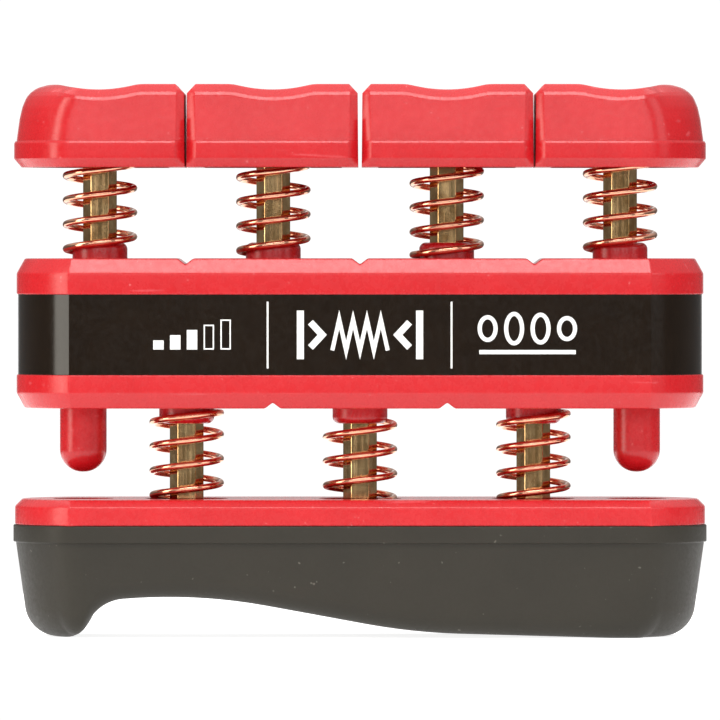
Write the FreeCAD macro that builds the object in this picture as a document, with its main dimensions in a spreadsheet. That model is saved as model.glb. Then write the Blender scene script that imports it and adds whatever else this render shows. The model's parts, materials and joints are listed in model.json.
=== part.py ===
import FreeCAD, Part
import math
import os

import Sketcher
from FreeCAD import Vector

# Finger exerciser: four spring-loaded finger buttons on top of a flat housing,
# which itself slides on three spring-loaded rods that stand in a palm grip.
# Millimetres. +X runs along the row of buttons, +Y is the back, +Z is up.
# The origin lies on the resting surface, under the centre of the palm grip.

DOC = FreeCAD.newDocument("finger_exerciser")

# Driving dimensions, one spreadsheet cell each.
SIZES = {
    # Spacing along X of the fingers' rods and of the guide pegs
    "finger_pitch": 20.8,
    "peg_spacing": 66.4,
    # Heights above the resting surface
    "grip_lip_bottom": 11.35,
    "grip_top": 13.4,
    "cap_top": 16.5,
    "housing_bottom": 27.4,
    "label_bottom": 31.4,
    "housing_seam": 36.2,
    "label_top": 41.0,
    "housing_top": 45.3,
    "button_bottom": 56.2,
    # Finger buttons
    "button_row_width": 83.0,
    "button_gap": 0.2,
    "button_centre_gap": 0.4,
    "button_depth": 22.4,
    "button_bulge": 6.1,
    "button_corner": 1.3,
    "button_end_bevel": 1.1,
    "button_overrun": 3.0,
    "lip_height": 3.1,
    "lip_bevel": 0.8,
    "crown_inset": 0.3,
    "crown_height": 6.8,
    "crown_draft": 6.0,
    "crown_bevel": 1.0,
    "dip_radius": 17.0,
    "dip_depth": 0.65,
    "dip_blend": 5.0,
    "button_wall": 2.0,
    "button_roof": 2.3,
    # Hexagonal rods, their screws and washers
    "rod_across_flats": 3.6,
    "rod_length": 20.4,
    "rod_running_gap": 0.08,
    "rod_stop_gap": 0.2,
    "screw_hole_radius": 1.25,
    "screw_hole_depth": 5.4,
    "screw_thread_length": 5.0,
    "screw_head_radius": 2.5,
    "screw_head_height": 1.8,
    "screw_head_round": 0.7,
    "screw_slot_width": 0.7,
    "screw_slot_depth": 0.8,
    "washer_radius": 3.2,
    "washer_thickness": 0.6,
    # Springs
    "coil_radius": 4.1,
    "wire_radius": 0.4,
    "coil_pitch": 2.92,
    "spring_end_gap": 0.2,
    # Housing shells and the label around them
    "housing_width": 82.4,
    "housing_depth": 22.0,
    "housing_bulge": 6.5,
    "housing_bevel_run": 1.0,
    "housing_bevel_rise": 1.8,
    "housing_wall": 1.8,
    "housing_skin": 2.0,
    "label_recess": 0.4,
    "label_thickness": 0.25,
    "tongue_height": 1.6,
    "tongue_gap": 0.05,
    "notch_half_width": 0.95,
    "notch_depth": 0.72,
    "boss_radius": 3.3,
    "boss_height": 1.9,
    "button_boss_foot": 2.0,
    "boss_round": 0.8,
    "post_radius": 1.5,
    "socket_radius": 2.6,
    "post_spacing_y": 12.8,
    "post_inset": 5.2,
    "post_length": 4.0,
    # Guide pegs under the housing
    "peg_radius": 2.8,
    "peg_length": 7.7,
    "peg_round": 2.7,
    # Palm cap
    "cap_width": 82.8,
    "cap_depth": 22.8,
    "cap_bulge": 6.7,
    "cap_bevel": 0.9,
    "cap_plate": 2.0,
    "cup_radius": 5.0,
    "cup_wall": 1.2,
    "cup_floor": 9.0,
    "cup_floor_thickness": 1.6,
    "cup_boss_height": 4.0,
    "peg_hole_radius": 3.65,
    # Palm grip
    "grip_width": 83.2,
    "grip_depth": 23.2,
    "grip_body_inset": 0.3,
    "grip_draft": 9.0,
    "grip_wall": 2.2,
    "grip_cavity_floor": 7.1,
    "rim_height": 2.0,
    "rim_wall": 1.4,
    "rim_gap": 0.05,
    "foot_left_end": -35.2,
    "foot_right_start": 30.0,
    "lobe_radius": 3.0,
    "throat_radius": 5.0,
    "arch_peak_x": -22.8,
    "arch_peak_z": 4.9,
    "arch_radius": 65.0,
    "sole_radius": 75.0,
    "sole_x": 12.0,
    "sole_z": 0.5,
    "grip_edge_bevel": 1.6,
}

SHEET = DOC.addObject("Spreadsheet::Sheet", "Sizes")
for row, (alias, number) in enumerate(SIZES.items(), 1):
    SHEET.set(f"A{row}", alias)
    SHEET.set(f"B{row}", str(number))
    SHEET.setAlias(f"B{row}", alias)
DOC.recompute()

PIECES = []


def value(expression):
    """Number that an expression on the sheet gives now."""
    return float(SHEET.evalExpression(str(expression)))


# ---------------------------------------------------------------- bodies and sketches


def new_body(label, x="0", z="0"):
    """PartDesign body whose own zero stands at x, z of the whole object."""
    body = DOC.addObject("PartDesign::Body", label)
    body.Label = label
    body.setExpression(".Placement.Base.x", x)
    body.setExpression(".Placement.Base.z", z)
    PIECES.append(body)
    return body


def new_sketch(body, name, plane="XY_Plane", height="0"):
    """Sketch on one of the body's origin planes, raised along its normal."""
    sketch = body.newObject("Sketcher::SketchObject", f"{body.Label}_{name}")
    support = next(f for f in body.Origin.OriginFeatures if f.Role == plane)
    sketch.AttachmentSupport = [(support, "")]
    sketch.MapMode = "FlatFace"
    sketch.setExpression(".AttachmentOffset.Base.z", height)
    return sketch


def hold(sketch, kind, expression, *where):
    """Adds one dimension and binds it to an expression on the sheet."""
    index = sketch.addConstraint(Sketcher.Constraint(kind, *where, value(expression)))
    sketch.setExpression(f"Constraints[{index}]", str(expression))


def pin(sketch, geometry, end, x, y):
    """Holds a point of an edge at x, y, each an expression."""
    for kind, axis, expression in (("DistanceX", -2, x), ("DistanceY", -1, y)):
        if abs(value(expression)) < 1e-9:
            sketch.addConstraint(Sketcher.Constraint("PointOnObject", geometry, end, axis))
        else:
            hold(sketch, kind, expression, -1, 1, geometry, end)


def arc_between(start, end, radius):
    """Arc drawn anticlockwise from start to end, less than half a turn."""
    chord = end.sub(start)
    height = math.sqrt(radius ** 2 - (chord.Length / 2) ** 2)
    left = Vector(-chord.y, chord.x, 0).normalize()
    centre = start.add(end).multiply(0.5).add(left.multiply(height))
    first = math.atan2(start.y - centre.y, start.x - centre.x)
    last = math.atan2(end.y - centre.y, end.x - centre.x)
    circle = Part.Circle(centre, Vector(0, 0, 1), radius)
    return Part.ArcOfCircle(circle, first, last)


def draw_outline(sketch, corners):
    """Closed outline, anticlockwise. A corner is (x, y) or (x, y, radius of the arc that follows)."""
    points = [Vector(value(corner[0]), value(corner[1]), 0) for corner in corners]
    edges = []
    for index, corner in enumerate(corners):
        start = points[index]
        end = points[(index + 1) % len(points)]
        if len(corner) == 3:
            edge = sketch.addGeometry(arc_between(start, end, value(corner[2])), False)
        else:
            edge = sketch.addGeometry(Part.LineSegment(start, end), False)
        edges.append(edge)
    for index, corner in enumerate(corners):
        sketch.addConstraint(Sketcher.Constraint("Coincident", edges[index - 1], 2, edges[index], 1))
        pin(sketch, edges[index], 1, corner[0], corner[1])
        if len(corner) == 3:
            hold(sketch, "Radius", corner[2], edges[index])
    return sketch


def draw_circles(sketch, centres, radius):
    """Circles of one radius round a list of (x, y) centres."""
    for x, y in centres:
        circle = Part.Circle(Vector(value(x), value(y), 0), Vector(0, 0, 1), value(radius))
        index = sketch.addGeometry(circle, False)
        pin(sketch, index, 3, x, y)
        hold(sketch, "Radius", radius, index)
    return sketch


def draw_hexagon(sketch, x, half_flats):
    """Hexagon round x, 0 with two corners on the X axis."""
    corner = f"({half_flats})/cos(30)"
    points = []
    for step in range(6):
        angle = 60 * step
        points.append((f"{x} + {corner}*cos({angle})", f"{corner}*sin({angle})"))
    return draw_outline(sketch, points)


def bar_corners(width, depth, bulge, inset="0"):
    """Plan of a bar: two straight long sides and a shallow arc across each end."""
    half = f"({depth}/2 - {inset})"
    radius = f"((({depth}/2)^2 + {bulge}^2)/(2*{bulge}) - {inset})"
    reach = f"({width}/2 - {inset} - {radius} + sqrt({radius}^2 - {half}^2))"
    return [
        (f"-{reach}", f"-{half}"),
        (reach, f"-{half}", radius),
        (reach, half),
        (f"-{reach}", half, radius),
    ]


# ---------------------------------------------------------------- features


def extrude(kind, body, sketch, length, reverse=False, symmetric=False, draft=None):
    """Pad or pocket of a sketch, with its length bound to the sheet."""
    feature = body.newObject(f"PartDesign::{kind}", sketch.Name + f"_{kind}")
    feature.Profile = sketch
    feature.Reversed = reverse
    if symmetric:
        feature.SideType = "Symmetric"
    feature.setExpression("Length", length)
    if draft:
        feature.setExpression("TaperAngle", draft)
    return feature


def pad(body, sketch, length, **options):
    return extrude("Pad", body, sketch, length, **options)


def pocket(body, sketch, length, **options):
    return extrude("Pocket", body, sketch, length, **options)


def dress(kind, body, name, size, test):
    """Fillet or chamfer on the edges of the body's tip that pass a test."""
    DOC.recompute()
    base = body.Tip
    names = [f"Edge{i}" for i, edge in enumerate(base.Shape.Edges, 1) if test(edge)]
    feature = body.newObject(f"PartDesign::{kind}", f"{body.Label}_{name}")
    feature.Base = (base, names)
    feature.setExpression("Radius" if kind == "Fillet" else "Size", size)
    DOC.recompute()
    return feature


def level(edge, height):
    """True when the whole edge lies at one height."""
    box = edge.BoundBox
    return abs(box.ZMin - height) < 1e-4 and abs(box.ZMax - height) < 1e-4


def rim_at(height, radius):
    """Test for the circular edges of one radius at one height."""

    def test(edge):
        round_edge = edge.Curve.TypeId == "Part::GeomCircle"
        return round_edge and level(edge, height) and abs(edge.Curve.Radius - radius) < 1e-4

    return test


# ---------------------------------------------------------------- finger buttons


def button_corners(edges, rounded, front="0", end="0"):
    """Plan of one button, drawn in from the flange's outline by front and end."""
    left, right = edges
    half = f"(Sizes.button_depth/2 - {front})"
    radius = f"((Sizes.button_depth^2/4 + Sizes.button_bulge^2)/(2*Sizes.button_bulge) - {front})"
    sweep = f"({radius} - sqrt({radius}^2 - {half}^2) + {front})"
    if rounded[0]:
        left_x = f"({left} + {sweep})"
    else:
        left_x = f"({left} + {end})"
    if rounded[1]:
        right_x = f"({right} - {sweep})"
        return [(left_x, f"-{half}"), (right_x, f"-{half}", radius), (right_x, half), (left_x, half)]
    right_x = f"({right} - {end})"
    last = (left_x, half, radius) if rounded[0] else (left_x, half)
    return [(left_x, f"-{half}"), (right_x, f"-{half}"), (right_x, half), last]


def cut_flat_end(body, name, edge, way, top):
    """Cuts a button off square at an edge, with both upright corners and the top corner taken off."""
    half, corner = "Sizes.button_depth/2", "Sizes.button_corner"
    far = f"({edge} + {way}*2*Sizes.button_overrun)"
    back = [(far, f"{half} + {corner}"), (f"{edge} - {way}*2*{corner}", f"{half} + {corner}")]
    back += [(edge, f"{half} - {corner}")]
    front = [(x, f"-({y})") for x, y in reversed(back)]
    outline = back + front
    bevel = "Sizes.button_end_bevel"
    outside = (f"{edge} + {way}*{bevel}", f"{top} + {bevel}")
    inside = (f"{edge} - {way}*2*{bevel}", f"{top} + {bevel}")
    triangle = [outside, inside, (outside[0], f"{top} - 2*{bevel}")]
    if way < 0:
        outline.reverse()
        triangle.reverse()
    pocket(body, draw_outline(new_sketch(body, f"{name}_end"), outline), top, reverse=True)
    slope = draw_outline(new_sketch(body, f"{name}_slope", "XZ_Plane"), triangle)
    pocket(body, slope, "2*Sizes.button_depth", symmetric=True)


def make_button(number, x):
    """Hollow button with a flange at its foot, a finger dip and a socket for its rod."""
    body = new_body(f"finger_button_{number}", x, "Sizes.button_bottom")
    outer = "(Sizes.button_row_width/2 - 1.5*Sizes.finger_pitch)"
    side = "((Sizes.finger_pitch - Sizes.button_gap)/2)"
    middle = "((Sizes.finger_pitch - Sizes.button_centre_gap)/2)"
    edges = {
        1: (f"-{outer}", side),
        2: (f"-{side}", middle),
        3: (f"-{middle}", side),
        4: (f"-{side}", outer),
    }[number]
    rounded = (number == 1, number == 4)
    top = "(Sizes.lip_height + Sizes.crown_height)"
    roof = f"({top} - Sizes.button_roof)"
    lean = "((Sizes.crown_height - Sizes.crown_bevel)*tan(Sizes.crown_draft))"

    def plan(name, height, front, end="-Sizes.button_overrun"):
        corners = button_corners(edges, rounded, front, end)
        return draw_outline(new_sketch(body, name, height=height), corners)

    pad(body, plan("lip", "Sizes.lip_bevel", "0"), "Sizes.lip_height - Sizes.lip_bevel")
    pad(body, plan("foot", "Sizes.lip_bevel", "0"), "Sizes.lip_bevel", reverse=True, draft="-45")
    crown = plan("crown", "Sizes.lip_height", "Sizes.crown_inset")
    pad(body, crown, "Sizes.crown_height - Sizes.crown_bevel", draft="-Sizes.crown_draft")
    bevel = plan("bevel", f"{top} - Sizes.crown_bevel", f"(Sizes.crown_inset + {lean})")
    pad(body, bevel, "Sizes.crown_bevel", draft="-45")
    if not rounded[0]:
        cut_flat_end(body, "left", edges[0], -1, top)
    if not rounded[1]:
        cut_flat_end(body, "right", edges[1], 1, top)
    dip = new_sketch(body, "dip", "XZ_Plane")
    draw_circles(dip, [("0", f"{top} + Sizes.dip_radius - Sizes.dip_depth")], "Sizes.dip_radius")
    pocket(body, dip, "2*Sizes.button_depth", symmetric=True)
    half_dip = math.sqrt(value("Sizes.dip_radius^2 - (Sizes.dip_radius - Sizes.dip_depth)^2"))

    def beside_dip(edge):
        return level(edge, value(top)) and abs(abs(edge.CenterOfMass.x) - half_dip) < 1e-3

    dress("Fillet", body, "dip_blend", "Sizes.dip_blend", beside_dip)
    pocket(body, plan("hollow", "0", "Sizes.button_wall", "Sizes.button_wall"), roof, reverse=True)
    boss = draw_circles(new_sketch(body, "boss", height=roof), [("0", "0")], "Sizes.boss_radius")
    pad(body, boss, f"{roof} - Sizes.button_boss_foot", reverse=True)
    socket = draw_hexagon(new_sketch(body, "socket"), "0", "Sizes.rod_across_flats/2")
    rod_top = "(Sizes.housing_top - Sizes.housing_skin - Sizes.rod_stop_gap + Sizes.rod_length)"
    pocket(body, socket, f"{rod_top} - Sizes.button_bottom", reverse=True)


# ---------------------------------------------------------------- rods, screws, washers, springs


def make_rod(label, x, foot, screw_end):
    """Hexagonal rod with a tapped hole in the end that lies inside the housing."""
    body = new_body(label, x, foot)
    pad(body, draw_hexagon(new_sketch(body, "hexagon"), "0", "Sizes.rod_across_flats/2"), "Sizes.rod_length")
    height = "Sizes.rod_length" if screw_end > 0 else "0"
    hole = draw_circles(new_sketch(body, "hole", height=height), [("0", "0")], "Sizes.screw_hole_radius")
    pocket(body, hole, "Sizes.screw_hole_depth", reverse=screw_end < 0)


def revolved(body, name, corners):
    """Solid of revolution about the body's own Z axis from an outline in the XZ plane."""
    sketch = draw_outline(new_sketch(body, name, "XZ_Plane"), corners)
    feature = body.newObject("PartDesign::Revolution", f"{body.Label}_turned")
    feature.Profile = sketch
    feature.ReferenceAxis = (sketch, ["V_Axis"])
    feature.Angle = 360
    return feature


def make_screw(label, x, face, way):
    """Slotted screw whose head seats on the plane z = face; way is +1 for a thread that points up."""
    body = new_body(label, x, face)
    shank, head = "Sizes.screw_hole_radius", "Sizes.screw_head_radius"
    length = f"{way}*Sizes.screw_thread_length"
    crest = f"{-way}*Sizes.screw_head_height"
    shoulder = f"{-way}*(Sizes.screw_head_height - Sizes.screw_head_round)"
    neck = f"{head} - Sizes.screw_head_round"
    corners = [("0", crest), (neck, crest), (head, shoulder), (head, "0")]
    corners += [(shank, "0"), (shank, length), ("0", length)]
    if way < 0:
        corners.reverse()
    revolved(body, "profile", corners)
    slot = new_sketch(body, "slot", height=crest)
    half, reach = "Sizes.screw_slot_width/2", "Sizes.screw_head_radius*1.2"
    corners = [(f"-{reach}", f"-{half}"), (reach, f"-{half}"), (reach, half), (f"-{reach}", half)]
    pocket(body, draw_outline(slot, corners), "Sizes.screw_slot_depth", reverse=way > 0)


def make_washer(label, x, foot):
    """Flat stop washer between the rod's end and the screw's head."""
    disc = DOC.addObject("Part::Cylinder", f"{label}_disc")
    hole = DOC.addObject("Part::Cylinder", f"{label}_hole")
    disc.setExpression("Radius", "Sizes.washer_radius")
    hole.setExpression("Radius", "Sizes.screw_hole_radius")
    for part in (disc, hole):
        part.setExpression("Height", "Sizes.washer_thickness")
    washer = DOC.addObject("Part::Cut", label)
    washer.Base = disc
    washer.Tool = hole
    place(washer, label, x, foot)


def place(piece, label, x, z):
    """Names a piece and puts it at x, z."""
    piece.Label = label
    piece.setExpression(".Placement.Base.x", x)
    piece.setExpression(".Placement.Base.z", z)
    PIECES.append(piece)


def make_spring(label, x, foot, length):
    """Right-handed coil spring standing on its foot."""
    body = new_body(label, x, foot)
    section = new_sketch(body, "wire", "XZ_Plane")
    draw_circles(section, [("Sizes.coil_radius", "Sizes.wire_radius")], "Sizes.wire_radius")
    coil = body.newObject("PartDesign::AdditiveHelix", f"{label}_coil")
    coil.Profile = section
    coil.ReferenceAxis = (section, ["V_Axis"])
    coil.Mode = "pitch-height-angle"
    coil.setExpression("Pitch", "Sizes.coil_pitch")
    coil.setExpression("Height", f"{length} - 2*Sizes.wire_radius - Sizes.spring_end_gap")


def make_finger_set(number):
    """One finger's button with the rod, spring, washer and screw that belong to it."""
    x = f"({number} - 2.5)*Sizes.finger_pitch"
    rod_foot = "Sizes.housing_top - Sizes.housing_skin - Sizes.rod_stop_gap"
    make_button(number, x)
    make_rod(f"finger_rod_{number}", x, rod_foot, -1)
    make_washer(f"finger_rod_washer_{number}", x, f"{rod_foot} - Sizes.washer_thickness")
    make_screw(f"finger_rod_screw_{number}", x, f"{rod_foot} - Sizes.washer_thickness", 1)
    roof = "Sizes.button_bottom + Sizes.lip_height + Sizes.crown_height - Sizes.button_roof"
    make_spring(f"finger_spring_{number}", x, "Sizes.housing_top", f"{roof} - Sizes.housing_top")


def make_palm_set(number):
    """One of the three rods that carry the housing, with its spring, washer and screw."""
    x = f"({number} - 2)*Sizes.finger_pitch"
    rod_top = "(Sizes.housing_bottom + Sizes.housing_skin + Sizes.rod_stop_gap)"
    make_rod(f"palm_rod_{number}", x, f"{rod_top} - Sizes.rod_length", 1)
    make_washer(f"palm_rod_washer_{number}", x, rod_top)
    make_screw(f"palm_rod_screw_{number}", x, f"{rod_top} + Sizes.washer_thickness", -1)
    make_spring(f"palm_spring_{number}", x, "Sizes.cup_floor", "Sizes.housing_bottom - Sizes.cup_floor")


# ---------------------------------------------------------------- housing


FINGER_X = [f"{step}*Sizes.finger_pitch" for step in (-1.5, -0.5, 0.5, 1.5)]
PALM_X = [f"{step}*Sizes.finger_pitch" for step in (-1, 0, 1)]
PEG_X = ["-Sizes.peg_spacing/2", "Sizes.peg_spacing/2"]


def along_x(places):
    return [(x, "0") for x in places]


def post_places():
    """Locating posts stand in pairs between the rods."""
    places = []
    for x in ("-Sizes.finger_pitch - Sizes.post_inset", "-Sizes.post_inset"):
        for y in ("-Sizes.post_spacing_y/2", "Sizes.post_spacing_y/2"):
            places += [(x, y), (f"-({x})", y)]
    return places


def housing_plan(body, name, height, inset):
    corners = bar_corners("Sizes.housing_width", "Sizes.housing_depth", "Sizes.housing_bulge", inset)
    return draw_outline(new_sketch(body, name, height=height), corners)


def make_shell(label, way, rod_places, notch_places, band):
    """Half of the housing, open towards the seam. way is +1 for the upper half and -1 for the lower one."""
    body = new_body(label, z="Sizes.housing_seam")
    down = way < 0
    full = f"abs({'Sizes.housing_bottom' if down else 'Sizes.housing_top'} - Sizes.housing_seam)"
    wall = f"({full} - Sizes.housing_bevel_rise)"
    pad(body, housing_plan(body, "band", "0", "Sizes.label_recess"), band, reverse=down)
    sides = housing_plan(body, "sides", f"{way}*{band}", "0")
    pad(body, sides, f"{wall} - {band}", reverse=down)
    bevel = housing_plan(body, "bevel", f"{way}*{wall}", "0")
    draft = "-atan(Sizes.housing_bevel_run/Sizes.housing_bevel_rise)"
    pad(body, bevel, "Sizes.housing_bevel_rise", reverse=down, draft=draft)
    notches = new_sketch(body, "notches", "XZ_Plane")
    for x in notch_places:
        outside = f"{way}*({full} + Sizes.notch_depth)"
        tip = (x, f"{way}*({full} - Sizes.notch_depth)")
        mouth = [(f"{x} + {side}*2*Sizes.notch_half_width", outside) for side in (1, -1)]
        draw_outline(notches, [tip] + mouth)
    pocket(body, notches, "2*Sizes.housing_depth", symmetric=True)
    if not down:
        tongue_inset = "(Sizes.label_recess + Sizes.housing_wall/2 + Sizes.tongue_gap)"
        pad(body, housing_plan(body, "tongue", "0", tongue_inset), "Sizes.tongue_height", reverse=True)
    start = "0" if down else "-Sizes.tongue_height"
    cavity = housing_plan(body, "cavity", start, "(Sizes.housing_wall + Sizes.label_recess)")
    pocket(body, cavity, f"{full} - Sizes.housing_skin - ({start})", reverse=not down)
    if down:
        rebate = housing_plan(body, "rebate", "0", "(Sizes.label_recess + Sizes.housing_wall/2)")
        pocket(body, rebate, "Sizes.tongue_height")
    bosses = new_sketch(body, "bosses", height=f"{way}*({full} - Sizes.housing_skin)")
    draw_circles(bosses, along_x(rod_places), "Sizes.boss_radius")
    pad(body, bosses, "Sizes.housing_skin + Sizes.boss_height", reverse=down)
    rim = value(f"{way}*({full} + Sizes.boss_height)")
    dress("Fillet", body, "boss_round", "Sizes.boss_round", rim_at(rim, value("Sizes.boss_radius")))
    bores = new_sketch(body, "bores", height=f"{way}*({full} + Sizes.boss_height)")
    for x in rod_places:
        draw_hexagon(bores, x, "(Sizes.rod_across_flats/2 + Sizes.rod_running_gap)")
    pocket(body, bores, "Sizes.housing_skin + 2*Sizes.boss_height", reverse=down)
    return body


def make_upper_housing():
    """Upper half: four finger bores, a seam tongue and the locating posts."""
    band = "(Sizes.label_top - Sizes.housing_seam)"
    body = make_shell("upper_housing", 1, FINGER_X, PALM_X, band)
    roof = "(Sizes.housing_top - Sizes.housing_seam - Sizes.housing_skin)"
    posts = draw_circles(new_sketch(body, "posts", height=roof), post_places(), "Sizes.post_radius")
    pad(body, posts, f"{roof} + Sizes.post_length", reverse=True)


def make_lower_housing():
    """Lower half: three palm bores, sockets for the posts and the two guide pegs."""
    band = "(Sizes.housing_seam - Sizes.label_bottom)"
    body = make_shell("lower_housing", -1, PALM_X, [FINGER_X[1], FINGER_X[2]], band)
    floor = "(Sizes.housing_bottom - Sizes.housing_seam + Sizes.housing_skin)"
    sockets = draw_circles(new_sketch(body, "sockets", height=floor), post_places(), "Sizes.socket_radius")
    pad(body, sockets, f"-{floor} - Sizes.tongue_height")
    wells = new_sketch(body, "wells", height="-Sizes.tongue_height")
    pocket(body, draw_circles(wells, post_places(), "Sizes.post_radius"), "Sizes.post_length")
    pegs = new_sketch(body, "pegs", height=f"{floor} - Sizes.housing_skin")
    pad(body, draw_circles(pegs, along_x(PEG_X), "Sizes.peg_radius"), "Sizes.peg_length", reverse=True)
    tip = value(f"{floor} - Sizes.housing_skin - Sizes.peg_length")
    dress("Fillet", body, "peg_round", "Sizes.peg_round", rim_at(tip, value("Sizes.peg_radius")))


def make_label_band():
    """Thin printed band round the housing, over the seam."""
    body = new_body("label_band", z="Sizes.label_bottom")
    height = "Sizes.label_top - Sizes.label_bottom"
    outer = housing_plan(body, "outside", "0", "(Sizes.label_recess - Sizes.label_thickness)")
    pad(body, outer, height)
    pocket(body, housing_plan(body, "inside", "0", "Sizes.label_recess"), height, reverse=True)


# ---------------------------------------------------------------- palm cap and grip


def make_palm_cap():
    """Cap that closes the grip, with three spring cups and two holes for the guide pegs."""
    body = new_body("palm_cap", z="Sizes.grip_top")
    rise = "(Sizes.cap_top - Sizes.grip_top)"
    plate_foot = f"({rise} - Sizes.cap_plate)"

    def plan(name, height, inset="0"):
        corners = bar_corners("Sizes.cap_width", "Sizes.cap_depth", "Sizes.cap_bulge", inset)
        return draw_outline(new_sketch(body, name, height=height), corners)

    pad(body, plan("wall", "0"), f"{rise} - Sizes.cap_bevel")
    pad(body, plan("bevel", f"{rise} - Sizes.cap_bevel"), "Sizes.cap_bevel", draft="-45")
    rim = "(Sizes.grip_wall + Sizes.rim_gap - (Sizes.grip_width - Sizes.cap_width)/2)"
    pad(body, plan("rim", "0", rim), "Sizes.rim_height", reverse=True)
    core = plan("core", "-Sizes.rim_height", f"({rim} + Sizes.rim_wall)")
    pocket(body, core, f"{plate_foot} + Sizes.rim_height", reverse=True)
    cups = new_sketch(body, "cups", height=plate_foot)
    draw_circles(cups, along_x(PALM_X), "(Sizes.cup_radius + Sizes.cup_wall)")
    cup_foot = "(Sizes.cup_floor - Sizes.cup_floor_thickness - Sizes.grip_top)"
    pad(body, cups, f"{plate_foot} - {cup_foot}", reverse=True)
    bowls = draw_circles(new_sketch(body, "bowls", height=rise), along_x(PALM_X), "Sizes.cup_radius")
    pocket(body, bowls, "Sizes.cap_top - Sizes.cup_floor")
    floor = "(Sizes.cup_floor - Sizes.grip_top)"
    bosses = draw_circles(new_sketch(body, "bosses", height=floor), along_x(PALM_X), "Sizes.boss_radius")
    pad(body, bosses, "Sizes.cup_boss_height")
    sockets = new_sketch(body, "sockets", height=rise)
    for x in PALM_X:
        draw_hexagon(sockets, x, "Sizes.rod_across_flats/2")
    rod_foot = "(Sizes.housing_bottom + Sizes.housing_skin + Sizes.rod_stop_gap - Sizes.rod_length)"
    pocket(body, sockets, f"Sizes.cap_top - {rod_foot}")
    holes = draw_circles(new_sketch(body, "peg_holes", height=rise), along_x(PEG_X), "Sizes.peg_hole_radius")
    pocket(body, holes, f"{rise} + Sizes.rim_height")


def draw_hand_side(sketch, low):
    """Hollow under the grip, from the lobe over the thumb arch to the end of the sole, in tangent arcs."""
    # The first two numbers are rough places, which the tangency conditions then settle.
    stations = [
        ("Sizes.foot_left_end", "0", "Sizes.lobe_radius"),
        (-32.6, 1.6, "-Sizes.throat_radius"),
        (-28.6, 4.5, "-Sizes.arch_radius"),
        (-11.0, 3.7, None),
        (3.0, 1.3, "Sizes.sole_radius"),
        ("Sizes.sole_x", "Sizes.sole_z", None),
        ("Sizes.foot_right_start", "0", None),
    ]
    points = [Vector(value(x), value(z) + value(low), 0) for x, z, _ in stations]
    chain = []
    for start, end, (_, _, radius) in zip(points, points[1:], stations):
        if radius is None:
            chain.append((sketch.addGeometry(Part.LineSegment(start, end), False), 1, 2))
        elif radius.startswith("-"):
            chain.append((sketch.addGeometry(arc_between(end, start, value(radius[1:])), False), 2, 1))
        else:
            chain.append((sketch.addGeometry(arc_between(start, end, value(radius)), False), 1, 2))
        if radius is not None:
            hold(sketch, "Radius", radius.lstrip("-"), chain[-1][0])
    for (first, _, leave), (second, enter, _) in zip(chain, chain[1:]):
        sketch.addConstraint(Sketcher.Constraint("Tangent", first, leave, second, enter))
    lobe, arch, sole = chain[0][0], chain[2][0], chain[-1][0]
    pin(sketch, lobe, 1, "Sizes.foot_left_end", low)
    hold(sketch, "DistanceX", "Sizes.foot_left_end", -1, 1, lobe, 3)
    hold(sketch, "DistanceX", "Sizes.arch_peak_x", -1, 1, arch, 3)
    hold(sketch, "DistanceY", f"{low} + Sizes.arch_peak_z - Sizes.arch_radius", -1, 1, arch, 3)
    pin(sketch, sole, 1, "Sizes.sole_x", f"{low} + Sizes.sole_z")
    pin(sketch, sole, 2, "Sizes.foot_right_start", low)
    below = f"{low} - Sizes.grip_wall"
    corners = [("Sizes.foot_right_start", low), ("Sizes.foot_right_start", below)]
    corners += [("Sizes.foot_left_end", below), ("Sizes.foot_left_end", low)]
    last = sole
    for (x, z), (next_x, next_z) in zip(corners, corners[1:]):
        start, end = Vector(value(x), value(z), 0), Vector(value(next_x), value(next_z), 0)
        line = sketch.addGeometry(Part.LineSegment(start, end), False)
        sketch.addConstraint(Sketcher.Constraint("Coincident", last, 2, line, 1))
        if (next_x, next_z) == corners[-1]:
            sketch.addConstraint(Sketcher.Constraint("Coincident", line, 2, lobe, 1))
        else:
            pin(sketch, line, 2, next_x, next_z)
        last = line


def make_palm_grip():
    """Hollow palm grip with a thumb arch, standing on a lobe and a long sole."""
    body = new_body("palm_grip", z="Sizes.grip_top")
    lip = "(Sizes.grip_top - Sizes.grip_lip_bottom)"

    def plan(name, height, inset="0"):
        corners = bar_corners("Sizes.grip_width", "Sizes.grip_depth", "Sizes.cap_bulge", inset)
        return draw_outline(new_sketch(body, name, height=height), corners)

    pad(body, plan("lip", "0"), lip, reverse=True)
    side = "(Sizes.grip_lip_bottom - Sizes.grip_edge_bevel)"
    sides = plan("sides", f"-{lip}", "Sizes.grip_body_inset")
    pad(body, sides, side, reverse=True, draft="-Sizes.grip_draft")
    edge_inset = f"(Sizes.grip_body_inset + {side}*tan(Sizes.grip_draft))"
    edge = plan("edge", "Sizes.grip_edge_bevel - Sizes.grip_top", edge_inset)
    pad(body, edge, "Sizes.grip_edge_bevel", reverse=True, draft="-45")
    arch = new_sketch(body, "arch", "XZ_Plane")
    draw_hand_side(arch, "-Sizes.grip_top")
    pocket(body, arch, "2*Sizes.grip_depth", symmetric=True)
    pocket(body, plan("cavity", "0", "Sizes.grip_wall"), "Sizes.grip_top - Sizes.grip_cavity_floor")


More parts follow.
